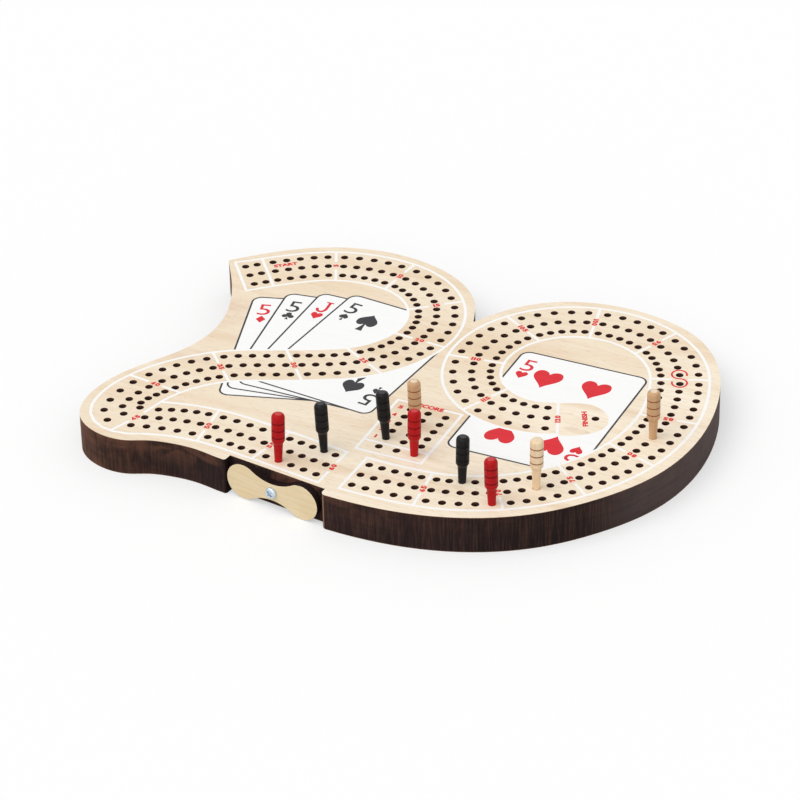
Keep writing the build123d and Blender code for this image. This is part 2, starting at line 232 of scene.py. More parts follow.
# ---------------------------------------------------------------- tracks
def follow(start, heading, arcs, distance):
    """Point and heading after a distance along tangent arcs."""
    place = Vector(start)
    for index, (radius, turn) in enumerate(arcs):
        length = radius * math.radians(abs(turn))
        side = math.copysign(1, turn)
        last = index == len(arcs) - 1
        travelled = distance if last else min(distance, length)
        after = heading + side * math.degrees(travelled / radius)
        centre = place + direction(heading + 90) * side * radius
        place = centre - direction(after + 90) * side * radius
        heading = after
        distance -= travelled
        if distance <= 0:
            break
    return place, heading


def along_two(distance):
    return follow(TWO_START, TWO_HEADING, TWO_ARCS, distance)


def along_nine(distance):
    return follow(NINE_START, NINE_HEADING, NINE_ARCS, distance)


def divider_distances(first, pitches, extra_after=None, extra=0.0):
    """Distances of the dividers along the middle lane; one group may have an extra step after it."""
    distances = [first]
    for group, pitch in enumerate(pitches, start=1):
        step = (HOLES_PER_GROUP - 1 + GROUP_GAP) * pitch
        distances.append(distances[-1] + step + (extra if group == extra_after else 0.0))
    return distances


def dividers(along, distances, fans):
    """Middle of each group divider, and the unit vector to its left end."""
    return [(along(distance)[0], direction(fan + 90)) for distance, fan in zip(distances, fans)]


TWO_DISTANCES = divider_distances(TWO_FIRST_DIVIDER, TWO_PITCHES, TIGHT_TURN_GROUP, TIGHT_TURN_EXTRA)
TWO_DIVIDERS = dividers(along_two, TWO_DISTANCES, TWO_FANS)
TWO_END = TWO_DISTANCES[-1]
NINE_DISTANCES = divider_distances(NINE_FIRST_DIVIDER, NINE_PITCHES)
NINE_DIVIDERS = dividers(along_nine, NINE_DISTANCES, NINE_FANS)
NINE_END = NINE_DISTANCES[-1]
TWO_COUNT = HOLES_PER_GROUP * len(TWO_PITCHES)


def border(along, first, last, side, bulge=0.0):
    """Points of the border beside the lanes, from one distance along the middle lane to another.

    It swings out by the bulge round the tight turn.
    """
    steps = max(1, round((last - first) / LINE_STEP))
    points = []
    for step in range(steps + 1):
        distance = first + (last - first) * step / steps
        place, heading = along(distance)
        share = (distance - BULGE_SPAN[0]) / (BULGE_SPAN[1] - BULGE_SPAN[0])
        more = bulge * math.sin(math.pi * min(max(share, 0.0), 1.0)) ** 2
        points.append(place + direction(heading + 90) * side * (BORDER_OFFSET + more))
    return points


def divider_end(middle, across, side):
    """Where a divider meets the border on one side."""
    return middle + across * side * BORDER_OFFSET


# ---------------------------------------------------------------- flat shapes
def ribbon(points, width):
    """Quads that follow a line, one for each of its runs."""
    normals = []
    for index in range(len(points)):
        before = Vector(points[max(index - 1, 0)])
        after = Vector(points[min(index + 1, len(points) - 1)])
        run = (after - before).normalized()
        normals.append(Vector((-run.y, run.x)) * width / 2)
    left = [Vector(point) + normal for point, normal in zip(points, normals)]
    right = [Vector(point) - normal for point, normal in zip(points, normals)]
    return [[right[i], right[i + 1], left[i + 1], left[i]] for i in range(len(points) - 1)]


def lane_band(half_width):
    """Quads over both tracks, out to a distance from the middle lane."""
    quads = []
    tracks = ((along_two, TWO_END, TWO_ARCS, TWO_DIVIDERS), (along_nine, NINE_END, NINE_ARCS, NINE_DIVIDERS))
    for along, end, arcs, ends in tracks:
        steps = round(end / LINE_STEP)
        sides = []
        for step in range(steps):
            distance = end * step / steps
            place, heading = along(distance)
            reach = INNER_REACH * turn_radius(arcs, distance)
            across = direction(heading + 90)
            left = min(half_width, reach) if reach > 0 else half_width
            right = min(half_width, -reach) if reach < 0 else half_width
            sides.append((place + across * left, place - across * right))
        middle, across = ends[-1]
        sides.append((middle + across * half_width, middle - across * half_width))
        for (left, right), (next_left, next_right) in zip(sides, sides[1:]):
            quads.append([right, next_right, next_left, left])
    return quads


def turn_radius(arcs, distance):
    """Signed radius of the middle lane at a distance along it: positive to the left."""
    for radius, turn in arcs:
        distance -= radius * math.radians(abs(turn))
        if distance <= 0:
            break
    return math.copysign(radius, turn)


def disc(centre, radius, count=40):
    return [Vector(centre) + direction(360 * i / count) * radius for i in range(count)]


def bezier(start, first, second, end, count=10):
    """Points on a cubic curve, without its end."""
    points = []
    for i in range(count):
        t = i / count
        weights = ((1 - t) ** 3, 3 * t * (1 - t) ** 2, 3 * t * t * (1 - t), t ** 3)
        pulls = zip((start, first, second, end), weights)
        points.append(sum((Vector(point) * weight for point, weight in pulls), Vector((0, 0))))
    return points


def mirrored(half):
    """Closed outline from its right half, which runs from the top of the middle line to the bottom."""
    return half + [Vector((-point.x, point.y)) for point in reversed(half[1:-1])]


def stretched(outline, width, height):
    return [Vector((point.x * width, point.y * height)) for point in outline]


# the pips' points are given as shares of their width and height, from their middle
def heart(width, height):
    right = bezier((0, 0.30), (0.08, 0.52), (0.47, 0.60), (0.5, 0.22))
    right += bezier((0.5, 0.22), (0.51, -0.06), (0.16, -0.20), (0, -0.5))
    right.append(Vector((0, -0.5)))
    return [stretched(mirrored(right), width, height)]


def spade(width, height):
    right = bezier((0, 0.5), (0.13, 0.35), (0.5, 0.24), (0.5, 0.05))
    right += bezier((0.5, 0.05), (0.5, -0.19), (0.2, -0.27), (0.04, -0.08))
    right.append(Vector((0.0, -0.08)))
    stem = bezier((0, 0.1), (0.06, -0.16), (0.08, -0.33), (0.19, -0.5))
    stem += [Vector((0.17, -0.5)), Vector((0, -0.5))]
    return [stretched(mirrored(half), width, height) for half in (right, stem)]


def club(width, height):
    leaf = 0.235 * width
    leaves = [disc((side * (width / 2 - leaf), -0.04 * height), leaf) for side in (-1, 1)]
    leaves.append(disc((0, height / 2 - leaf), leaf))
    middle = disc((0, 0.02 * height), 0.12 * width)
    stem = bezier((0, 0), (0.03, -0.2), (0.04, -0.3), (0.16, -0.5))
    stem += [Vector((0.16, -0.5)), Vector((0, -0.5))]
    return leaves + [middle, stretched(mirrored(stem), width, height)]


def diamond(width, height):
    right = [Vector((0, 0.5)), Vector((0.5, 0)), Vector((0, -0.5))]
    return [stretched(mirrored(right), width, height)]


PIPS = {"heart": heart, "spade": spade, "club": club, "diamond": diamond}


def rounded_card(inset=0.0):
    """Card outline with rounded corners, or a line inside it."""
    radius = CARD_CORNER - inset
    points = []
    for corner, (x_side, y_side) in enumerate(((1, 1), (-1, 1), (-1, -1), (1, -1))):
        centre = Vector((x_side * (CARD_WIDTH / 2 - CARD_CORNER), y_side * (CARD_HEIGHT / 2 - CARD_CORNER)))
        points += [centre + direction(90 * corner + angle) * radius for angle in range(0, 91, 10)]
    return points


def placed(polygons, centre, angle=0.0):
    """Polygons turned about their origin and moved."""
    spin = Matrix.Rotation(math.radians(angle), 2)
    return [[spin @ point + Vector(centre) for point in polygon] for polygon in polygons]


def lettering(text, width, height, bold=0.0):
    """Triangles of a line of text about its middle, as wide and high as given."""
    curve = bpy.data.curves.new("lettering", "FONT")
    curve.body = text
    curve.offset = bold
    curve.resolution_u = 4
    writing = bpy.data.objects.new("lettering", curve)
    mesh = bpy.data.meshes.new_from_object(writing)
    xs = [vertex.co.x for vertex in mesh.vertices]
    ys = [vertex.co.y for vertex in mesh.vertices]
    middle = Vector(((min(xs) + max(xs)) / 2, (min(ys) + max(ys)) / 2))
    stretch = Vector((width / (max(xs) - min(xs)), height / (max(ys) - min(ys))))
    flat = [(vertex.co.xy - middle) * stretch for vertex in mesh.vertices]
    triangles = [[flat[index] for index in polygon.vertices] for polygon in mesh.polygons]
    bpy.data.objects.remove(writing)
    bpy.data.meshes.remove(mesh)
    return triangles


def card_index(text):
    """Figure or letter of a card; the J is drawn with a serif."""
    size = Vector(INDEX_SIZE[text])
    if text != "J":
        return lettering(text, *size)
    stem = [Vector(point) * size for point in smooth(JACK_STEM)]
    serif = [Vector(point) * size for point in JACK_SERIF]
    return ribbon(stem, JACK_STROKE) + ribbon(serif, JACK_SERIF_STROKE)


def number(text):
    """Digits of a number about its middle, each its own list of polygons; the 4 is drawn in strokes."""
    widths = [ONE_WIDTH if digit == "1" else DIGIT_WIDTH for digit in text]
    left = -(sum(widths) + DIGIT_SPACE * (len(text) - 1)) / 2
    digits = []
    for digit, width in zip(text, widths):
        if digit == "4":
            shape = [quad for stroke in FOUR_STROKES for quad in ribbon(stroke, FOUR_STROKE)]
        else:
            shape = lettering(digit, width, NUMBER_HEIGHT, NUMBER_BOLD)
        digits.append(placed(shape, (left + width / 2, 0)))
        left += width + DIGIT_SPACE
    return digits


def anticlockwise(polygon):
    area = sum(a[0] * b[1] - b[0] * a[1] for a, b in zip(polygon, polygon[1:] + polygon[:1]))
    return polygon if area > 0 else polygon[::-1]


def arranged(polygons, keep):
    """Triangles of overlapping polygons where keep is true of the set of polygons that cover them."""
    corners = []
    loops = []
    for polygon in polygons:
        loops.append(list(range(len(corners), len(corners) + len(polygon))))
        corners += [Vector(point) for point in anticlockwise(polygon)]
    points, _, triangles, _, _, sources = delaunay_2d_cdt(corners, [], loops, INSIDE_ONLY, WELD)
    return points, [triangle for triangle, covers in zip(triangles, sources) if covers and keep(set(covers))]


def merged(polygons, cutters=()):
    """Union of polygons, less the cutters."""
    count = len(polygons)
    return arranged(list(polygons) + list(cutters), lambda covers: max(covers) < count)


def printed(name, areas, height, material):
    """A thin closed layer of print on the board's top, from areas of points and triangles."""
    layer = bmesh.new()
    for points, triangles in areas:
        corners = {}
        for triangle in triangles:
            for index in triangle:
                if index not in corners:
                    corners[index] = layer.verts.new(on_board(points[index], -PRINT_SINK))
            layer.faces.new([corners[index] for index in triangle])
    raised = bmesh.ops.extrude_face_region(layer, geom=layer.faces[:], use_keep_orig=True)
    upper = [part for part in raised["geom"] if isinstance(part, bmesh.types.BMVert)]
    bmesh.ops.translate(layer, vec=(0, 0, (PRINT_SINK + height) * MM), verts=upper)
    bmesh.ops.recalc_face_normals(layer, faces=layer.faces[:])
    mesh = bpy.data.meshes.new(name)
    layer.to_mesh(mesh)
    layer.free()
    mesh.materials.append(material)
    piece = bpy.data.objects.new(name, mesh)
    bpy.context.scene.collection.objects.link(piece)
    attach(piece, "board")


# ---------------------------------------------------------------- material nodes
def rgb(red, green, blue):
    """Linear colour from display values of 0 to 255."""
    def linear(value):
        share = value / 255
        return share / 12.92 if share <= 0.04045 else ((share + 0.055) / 1.055) ** 2.4
    return (linear(red), linear(green), linear(blue), 1.0)


class Shader:
    """A new material's node tree, with the few nodes that these materials are made of."""

    def __init__(self, name, roughness, **inputs):
        self.material = bpy.data.materials.new(name)
        self.material.use_nodes = True
        self.tree = self.material.node_tree
        self.surface = self.tree.nodes["Principled BSDF"]
        self.surface.inputs["Roughness"].default_value = roughness
        for socket, value in inputs.items():
            self.surface.inputs[socket.replace("_", " ")].default_value = value
        self.place = self.node("ShaderNodeTexCoord").outputs["Object"]

    def node(self, kind, **values):
        made = self.tree.nodes.new(kind)
        for name, value in values.items():
            setattr(made, name, value)
        return made

    def feed(self, socket, value):
        if isinstance(value, bpy.types.NodeSocket):
            self.tree.links.new(value, socket)
        else:
            socket.default_value = value

    def noise(self, scale, stretch=(1, 1, 1), detail=3.0, roughness=0.55, distortion=0.0):
        """Noise of 0 to 1; the smaller the stretch along an axis, the longer its streaks."""
        mapping = self.node("ShaderNodeMapping")
        self.feed(mapping.inputs["Vector"], self.place)
        mapping.inputs["Scale"].default_value = stretch
        noise = self.node("ShaderNodeTexNoise")
        self.feed(noise.inputs["Vector"], mapping.outputs["Vector"])
        noise.inputs["Scale"].default_value = scale
        noise.inputs["Detail"].default_value = detail
        noise.inputs["Roughness"].default_value = roughness
        noise.inputs["Distortion"].default_value = distortion
        return noise.outputs["Fac"]

    def ramp(self, value, low, high, start=0.0, end=1.0):
        """Value mapped smoothly from the range low to high."""
        mapped = self.node("ShaderNodeMapRange", interpolation_type="SMOOTHSTEP")
        for socket, setting in zip(("Value", "From Min", "From Max", "To Min", "To Max"),
                                   (value, low, high, start, end)):
            self.feed(mapped.inputs[socket], setting)
        return mapped.outputs["Result"]

    def math(self, operation, first, second):
        made = self.node("ShaderNodeMath", operation=operation)
        self.feed(made.inputs[0], first)
        self.feed(made.inputs[1], second)
        return made.outputs[0]

    def mix(self, share, first, second):
        made = self.node("ShaderNodeMix", data_type="RGBA")
        first_colour, second_colour, result = made.inputs[6], made.inputs[7], made.outputs[2]
        self.feed(made.inputs["Factor"], share)
        self.feed(first_colour, first)
        self.feed(second_colour, second)
        return result

    def axes(self):
        split = self.node("ShaderNodeSeparateXYZ")
        self.feed(split.inputs[0], self.place)
        return split.outputs

    def spot(self, place, half_length, half_width):
        """1 at a place on the board's top, 0 beyond an ellipse along X about it."""
        x, y, _ = self.axes()
        middle = on_board(place)
        across = self.math("DIVIDE", self.math("SUBTRACT", x, middle[0]), half_length * MM)
        along = self.math("DIVIDE", self.math("SUBTRACT", y, middle[1]), half_width * MM)
        squares = self.math("ADD", self.math("MULTIPLY", across, across), self.math("MULTIPLY", along, along))
        return self.ramp(squares, 0.15, 1.0, 1.0, 0.0)

    def bump(self, height, strength, distance):
        made = self.node("ShaderNodeBump")
        self.feed(made.inputs["Height"], height)
        made.inputs["Strength"].default_value = strength
        made.inputs["Distance"].default_value = distance
        self.feed(self.surface.inputs["Normal"], made.outputs["Normal"])

    def finish(self, colour):
        self.feed(self.surface.inputs["Base Color"], colour)
        return self.material


def maple():
    """Pale sanded maple with its grain along X, painted paler towards the front as a pool of light that falls
    off to the back.
    """
    shader = Shader("maple", 0.5, Specular_IOR_Level=0.3)
    broad = shader.noise(30, (0.35, 1.6, 1), detail=4, distortion=0.8)
    rings = shader.noise(95, (0.10, 1, 1), detail=5, distortion=0.6)
    fine = shader.noise(800, (0.05, 1, 1), detail=2)
    flecks = shader.noise(1500, (0.16, 1, 1), detail=1)
    mineral = shader.noise(26, (0.30, 1.5, 1), detail=5, roughness=0.6, distortion=1.5)
    x, y, _ = shader.axes()
    # painted light: paler towards the front right, darker towards the back
    front = shader.ramp(shader.math("SUBTRACT", x, y), -0.02, 0.08)
    pale = shader.mix(front, rgb(248, 233, 210), rgb(255, 243, 223))
    deep = shader.mix(front, rgb(243, 224, 196), rgb(251, 235, 211))
    colour = shader.mix(shader.ramp(broad, 0.3, 0.7), pale, deep)
    colour = shader.mix(shader.ramp(rings, 0.47, 0.66, 0, 0.75), colour, rgb(236, 211, 180))
    colour = shader.mix(shader.ramp(fine, 0.4, 0.75, 0, 0.35), colour, rgb(234, 211, 180))
    colour = shader.mix(shader.ramp(flecks, 0.60, 0.72, 0, 0.4), colour, rgb(214, 184, 148))
    colour = shader.mix(shader.ramp(mineral, 0.66, 0.78, 0, 0.45), colour, rgb(200, 164, 132))
    knotty = shader.noise(170, (0.35, 1.3, 1), detail=4, distortion=1.0)
    streaks = shader.ramp(knotty, 0.38, 0.62, 0.3, 1.0)
    for place, half_length, half_width, strength in KNOTS:
        near = shader.spot(place, half_length, half_width)
        share = shader.math("MULTIPLY", shader.math("MULTIPLY", near, streaks), strength)
        colour = shader.mix(share, colour, rgb(196, 138, 112))
    shader.bump(fine, 0.08, 0.0002)
    return shader.finish(colour)


def sanded_corner(shader, colour):
    """Bare wood at the recess's right corner, over a scorched colour."""
    return shader.mix(shader.spot(SANDED_CORNER, SANDED_REACH, SANDED_REACH), colour, rgb(146, 112, 88))


def charred():
    """Cut edge of the board, scorched nearly black: brown and patchy at its left end, greyer at its right end
    as a painted sheen of light.
    """
    shader = Shader("charred", 0.7, Specular_IOR_Level=0.1)
    x, _, z = shader.axes()
    marks = shader.noise(1300, (1, 1, 0.05), detail=3, roughness=0.65)
    layers = shader.noise(700, (0.06, 0.06, 1), detail=2)
    patches = shader.noise(38, (1, 1, 0.8), detail=4, distortion=0.5)
    blotches = shader.noise(105, (1, 1, 1.1), detail=5, distortion=0.8)
    left = shader.ramp(x, *BROWN_END, 1.0, 0.0)
    upper = shader.ramp(z, 4 * MM, 15 * MM)
    # from near black at the front to grey at the right, the grey a painted sheen of light
    colour = shader.mix(shader.ramp(patches, 0.35, 0.7), rgb(36, 25, 25), rgb(48, 33, 31))
    colour = shader.mix(shader.ramp(x, *DARK_FRONT, 0, 0.6), colour, rgb(22, 16, 17))
    # painted sheen: grey towards the right end of the edge
    colour = shader.mix(shader.ramp(x, *SHEEN_GREY_END), colour, rgb(86, 74, 72))
    # brown at the left, most of all in its upper half
    brown = shader.math("MULTIPLY", shader.ramp(patches, 0.38, 0.56, 0.3, 1.0), left)
    brown = shader.math("MULTIPLY", brown, shader.ramp(marks, 0.35, 0.65, 0.8, 1.15))
    brown = shader.math("MULTIPLY", brown, shader.math("ADD", shader.math("MULTIPLY", upper, 0.5), 0.45))
    colour = shader.mix(brown, colour, rgb(164, 112, 84))
    # upright marks of the cutter
    colour = shader.mix(shader.ramp(marks, 0.4, 0.7, 0, 0.45), colour, rgb(92, 64, 54))
    dark_marks = shader.math("MULTIPLY", shader.ramp(marks, 0.3, 0.55, 0.6, 0), left)
    colour = shader.mix(dark_marks, colour, rgb(44, 30, 27))
    # warm and dark blotches, and thin dark layers
    patchy = shader.ramp(x, *PATCHY_END, 1.0, 0.2)
    warm = shader.math("MULTIPLY", shader.ramp(blotches, 0.42, 0.62, 0, 0.45), upper)
    colour = shader.mix(shader.math("MULTIPLY", warm, patchy), colour, rgb(118, 78, 60))
    dark = shader.math("MULTIPLY", shader.ramp(blotches, 0.38, 0.52, 0.45, 0), patchy)
    colour = shader.mix(dark, colour, rgb(34, 24, 24))
    colour = shader.mix(shader.ramp(layers, 0.45, 0.7, 0, 0.25), colour, rgb(28, 19, 19))
    # paler rims at the top and the bottom
    rim_top = shader.ramp(z, TOP - 0.425 * MM, TOP - 0.025 * MM)
    rim_bottom = shader.ramp(z, 0.0, 0.4 * MM, 1.0, 0.0)
    colour = shader.mix(shader.math("MULTIPLY", rim_top, 0.75), colour, rgb(128, 88, 62))
    colour = shader.mix(shader.math("MULTIPLY", rim_bottom, 0.7), colour, rgb(160, 124, 94))
    shader.bump(marks, 0.25, 0.0003)
    return shader.finish(sanded_corner(shader, colour))


def charred_recess():
    """Walls of the storage recess and the cover's cut edge, blacker and duller than the outer edge; in the
    recess this blackness is partly painted shade.
    """
    shader = Shader("charred_recess", 0.8, Specular_IOR_Level=0.05)
    marks = shader.noise(1300, (1, 1, 0.05), detail=3, roughness=0.65)
    patches = shader.noise(60, detail=3)
    # dark colours: charring, and in the recess also painted shade
    colour = shader.mix(shader.ramp(patches, 0.35, 0.7), rgb(30, 21, 21), rgb(42, 30, 28))
    colour = shader.mix(shader.ramp(marks, 0.45, 0.75, 0, 0.3), colour, rgb(70, 52, 44))
    shader.bump(marks, 0.2, 0.0003)
    return shader.finish(sanded_corner(shader, colour))


def scorched_hole():
    """Walls and floors of the peg holes, paler towards their mouths."""
    shader = Shader("scorched_hole", 0.85, Specular_IOR_Level=0.1)
    z = shader.axes()[2]
    streaks = shader.noise(1500, (1, 1, 0.1), detail=2)
    colour = shader.mix(shader.ramp(streaks, 0.3, 0.7), rgb(58, 40, 38), rgb(84, 58, 52))
    near_mouth = shader.ramp(z, TOP - 1.375 * MM, TOP + 0.005 * MM, 0, 0.45)
    colour = shader.mix(near_mouth, colour, rgb(124, 84, 66))
    return shader.finish(colour)


def cover_wood():
    """Tan cover, its grain along its length."""
    shader = Shader("cover_wood", 0.45, Specular_IOR_Level=0.35)
    broad = shader.noise(60, (0.5, 0.5, 1.3), detail=3, distortion=0.5)
    fine = shader.noise(900, (0.05, 0.05, 1), detail=3)
    colour = shader.mix(shader.ramp(broad, 0.3, 0.7), rgb(248, 228, 188), rgb(240, 216, 172))
    colour = shader.mix(shader.ramp(fine, 0.4, 0.7, 0, 0.35), colour, rgb(226, 198, 152))
    shader.bump(fine, 0.1, 0.0002)
    return shader.finish(colour)


def zinc():
    shader = Shader("zinc", 0.38, Metallic=0.85)
    worn = shader.noise(900, detail=3)
    colour = shader.mix(shader.ramp(worn, 0.35, 0.65), rgb(214, 226, 236), rgb(190, 204, 216))
    shader.bump(worn, 0.08, 0.0001)
    return shader.finish(colour)


def peg_wood(name, roughness, gloss, pale, dark, contrast=0.5):
    """Turned wood, plain or stained, with its grain along Z."""
    shader = Shader(name, roughness, Specular_IOR_Level=gloss)
    grain = shader.noise(700, (1, 1, 0.07), detail=3, distortion=0.3)
    turning = shader.noise(1600, (0.05, 0.05, 1), detail=2)
    colour = shader.mix(shader.ramp(grain, 0.35, 0.68, 0, contrast), pale, dark)
    colour = shader.mix(shader.ramp(turning, 0.5, 0.75, 0, contrast * 0.6), colour, dark)
    shader.bump(turning, 0.12, 0.0002)
    return shader.finish(colour)


def ink(name, colour, shade):
    """Flat print that lets the wood's fine grain through a little."""
    shader = Shader(name, 0.5, Specular_IOR_Level=0.2)
    grain = shader.noise(800, (0.05, 1, 1), detail=2)
    shader.bump(grain, 0.06, 0.0002)
    return shader.finish(shader.mix(shader.ramp(grain, 0.4, 0.8, 0, 0.5), colour, shade))


# ---------------------------------------------------------------- finishes of the carried-over nodes
def wear(node, *materials):
    """Gives a node its materials; returns its mesh."""
    mesh = frame["nodes"][node].data
    mesh.materials.clear()
    for material in materials:
        mesh.materials.append(material)
    return mesh


def finish_board():
    """Maple on the two faces and in the bores, scorched wood on the cut edges and in the peg holes."""
    mesh = wear("board", maple(), charred(), scorched_hole(), charred_recess())
    plain, edge, hole, recess = range(4)
    bores = [box["box_m"] for box in frame["record"]["physics"]["openings"] if "bore" in box["name"]]
    hole_floor = TOP - HOLE_DEPTH * MM
    floors = [polygon.center for polygon in mesh.polygons
              if polygon.normal.z > SQUARE and abs(polygon.center.z - hole_floor) < FACE_TOLERANCE]
    near_floors = KDTree(len(floors))
    for index, centre in enumerate(floors):
        near_floors.insert((centre.x, centre.y, 0), index)
    near_floors.balance()
    for polygon in mesh.polygons:
        x, y, z = polygon.center
        on_face = abs(polygon.normal.z) > SQUARE and (z > TOP - FACE_TOLERANCE or z < FACE_TOLERANCE)
        faces_out = polygon.normal.xy.dot(RECESS_OUT) > SQUARE
        in_bore = not faces_out and any(
            low[0] - BORE_MARGIN < x < high[0] + BORE_MARGIN and low[1] < y < high[1] + BORE_MARGIN
            and low[2] - BORE_MARGIN < z < high[2] + BORE_MARGIN for low, high in bores)
        if on_face or in_bore:
            polygon.material_index = plain
        elif z > hole_floor - FACE_TOLERANCE and near_floors.find((x, y, 0))[2] < HOLE_DIAMETER * MM:
            polygon.material_index = hole
        elif in_recess(Vector((x, y))):
            polygon.material_index = recess
        else:
            polygon.material_index = edge


def in_recess(place):
    """True of a point inside the storage recess, seen from above."""
    out = (place - PIVOT).dot(RECESS_OUT) / MM
    along = (place - PIVOT).dot(Vector((-RECESS_OUT.y, RECESS_OUT.x))) / MM
    return -RECESS_BEHIND < out < RECESS_DEPTH and RECESS_SPAN[0] < along < RECESS_SPAN[1]


def finish_cover():
    """Bare wood on the cover's front and back, its cut edge charred."""
    wood, edge = range(2)
    for polygon in wear("storage_cover", cover_wood(), charred_recess()).polygons:
        on_edge = abs(polygon.normal.xy.dot(RECESS_OUT)) < COVER_EDGE_SQUARE
        polygon.material_index = edge if on_edge else wood


def peg_axis(mesh):
    """Middle of a peg's lower end, and the unit vector up its axis, found in a few rounds."""
    axis = Vector((0, 0, 1))
    for _ in range(3):
        heights = [vertex.co.dot(axis) for vertex in mesh.vertices]
        ends = []
        for limit in (min(heights), max(heights)):
            end = [vertex.co for vertex, height in zip(mesh.vertices, heights)
                   if abs(height - limit) < FACE_TOLERANCE]
            ends.append(sum(end, Vector()) / len(end))
        axis = (ends[1] - ends[0]).normalized()
    return ends[0], axis


def finish_pegs():
    """Wood or stain on each peg, darker in its grooves and paler on its top: a painted highlight, on the
    natural pegs partly sanded end grain.
    """
    red = peg_wood("peg_red", 0.42, 0.12, rgb(186, 22, 27), rgb(158, 14, 19))
    black = peg_wood("peg_black", 0.36, 0.15, rgb(24, 23, 25), rgb(14, 13, 14))
    natural = peg_wood("peg_natural", 0.5, 0.25, rgb(247, 221, 184), rgb(230, 196, 156))
    brown = peg_wood("peg_natural_brown", 0.5, 0.25, rgb(211, 171, 130), rgb(184, 140, 100))
    finishes = {              # body, then the two tones of the grooves and the two of the top's painted highlight
        "peg_red": (red, rgb(120, 8, 14), rgb(96, 6, 10), rgb(204, 64, 62), rgb(184, 34, 38)),
        "peg_black": (black, rgb(12, 11, 12), rgb(6, 6, 7), rgb(52, 50, 53), rgb(30, 29, 31)),
        "peg_natural": (natural, rgb(158, 100, 68), rgb(136, 80, 52), rgb(240, 222, 196), rgb(224, 198, 164)),
    }
    groove_index, top_index = 1, 2
    for name, (body, groove_pale, groove_dark, top_highlight_pale, top_highlight_dark) in finishes.items():
        groove = peg_wood(name + "_groove", 0.6, 0.1, groove_pale, groove_dark)
        # painted highlight: a paler top on each peg, on the natural pegs partly sanded end grain
        top = peg_wood(name + "_top", 0.4, 0.3, top_highlight_pale, top_highlight_dark)
        for count in (1, 2, 3):
            node = f"{name}_{count}"
            mesh = wear(node, brown if node in BROWN_PEGS else body, groove, top)
            foot, axis = peg_axis(mesh)
            for polygon in mesh.polygons:
                reach = polygon.center - foot
                height = reach.dot(axis) / MM - PEG_DEPTH
                radius = (reach - axis * reach.dot(axis)).length / MM
                in_groove = any(abs(height - middle) < GROOVE_WIDTH / 2 for middle in GROOVE_HEIGHTS)
                if in_groove and radius < PEG_HEAD_DIAMETER / 2 - GROOVE_DEPTH:
                    polygon.material_index = groove_index
                elif height > PEG_HEIGHT - PEG_TOP_DEPTH and radius < PEG_TOP_DIAMETER / 2:
                    polygon.material_index = top_index


# ---------------------------------------------------------------- prints
def segment(start, end):
    """A straight line with square ends, which reach half its width past both points."""
    start, end = Vector(start), Vector(end)
    run = (end - start).normalized() * LINE_WIDTH / 2
    return ribbon([start - run, end + run], LINE_WIDTH)


def divider(middle, across, gap, left=BORDER_OFFSET, right=BORDER_OFFSET, shift=0.0):
    """White line across the lanes, open about its middle if gap is above 0."""
    lines = []
    if left > gap:
        left_end = middle + across * (left + LINE_WIDTH / 2)
        lines += ribbon([middle + across * (shift + gap), left_end], LINE_WIDTH)
    right_end = middle - across * (right + LINE_WIDTH / 2)
    return lines + ribbon([right_end, middle + across * (shift - gap)], LINE_WIDTH)


def numbered_dividers():
    """Each digit's dividers after its first, as the number of the last hole, middle and left direction."""
    made = []
    for count, places in ((0, TWO_DIVIDERS), (TWO_COUNT, NINE_DIVIDERS)):
        for middle, across in places[1:]:
            count += HOLES_PER_GROUP
            made.append((count, middle, across))
    return made


def lane_lines():
    """Borders beside the lanes, group dividers and the start box."""
    start_left, start_right = (Vector(corner) for corner in START_CORNERS)
    two_end, nine_start, nine_end = TWO_DIVIDERS[-1], NINE_DIVIDERS[0], NINE_DIVIDERS[-1]
    lines = segment(start_left, start_right)
    lines += ribbon([start_left] + border(along_two, TWO_INNER_FROM, TWO_INNER_STOP, 1)
                    + [Vector(TWO_INNER_END)], LINE_WIDTH)
    lines += ribbon([start_right] + border(along_two, 0.0, TWO_END - LINE_STEP, -1, BULGE)
                    + [divider_end(*two_end, -1)], LINE_WIDTH)
    lines += ribbon(border(along_two, TWO_BASE_FROM, TWO_END - LINE_STEP, 1) + [divider_end(*two_end, 1)],
                    LINE_WIDTH)
    for side in (-1, 1):
        lines += ribbon([divider_end(*nine_start, side)]
                        + border(along_nine, NINE_FIRST_DIVIDER + LINE_STEP, NINE_END - LINE_STEP, side)
                        + [divider_end(*nine_end, side)], LINE_WIDTH)
    lines += divider(*TWO_DIVIDERS[0], 0.0) + divider(*nine_start, 0.0)
    for count, middle, across in numbered_dividers():
        reaches = {}
        if count == HOLES_PER_GROUP * TIGHT_TURN_GROUP:
            reaches = {"left": 0.0, "right": TIGHT_DIVIDER_REACH}
        lines += divider(middle, across, DIVIDER_GAP, shift=NUMBER_SHIFTS.get(count, 0.0), **reaches)
    return lines


def score_lines():
    """Box round the score block, open at its word, and the line above its last row."""
    left, low, right, high = SCORE_BOX
    gap_left, gap_right = SCORE_LABEL_SPAN
    runs = [
        ((left, low), (right, low)), ((left, low), (left, high)), ((right, low), (right, high)),
        ((left, SCORE_SEPARATOR), (right, SCORE_SEPARATOR)),
        ((left, high), (gap_left, high)), ((gap_right, high), (right, high)),
    ]
    return [quad for run in runs for quad in segment(*run)]


def numbers():
    """Hole numbers at the group dividers and beside the score holes, each digit its own list of polygons."""
    made = []
    for count, middle, across in numbered_dividers():
        if count != SKUNK_HOLE:
            middle = middle + across * NUMBER_SHIFTS.get(count, 0.0)
            turn = math.degrees(math.atan2(across.y, across.x))
            made += [placed(digit, middle, turn) for digit in number(str(count))]
    for label, y in SCORE_LABELS:
        made += [placed(digit, (SCORE_LABEL_X, y)) for digit in number(label)]
    return made


def words():
    """Each word as its own list of triangles."""
    return [placed(lettering(text, *size, WORD_BOLD), middle, angle) for text, size, middle, angle in WORDS]


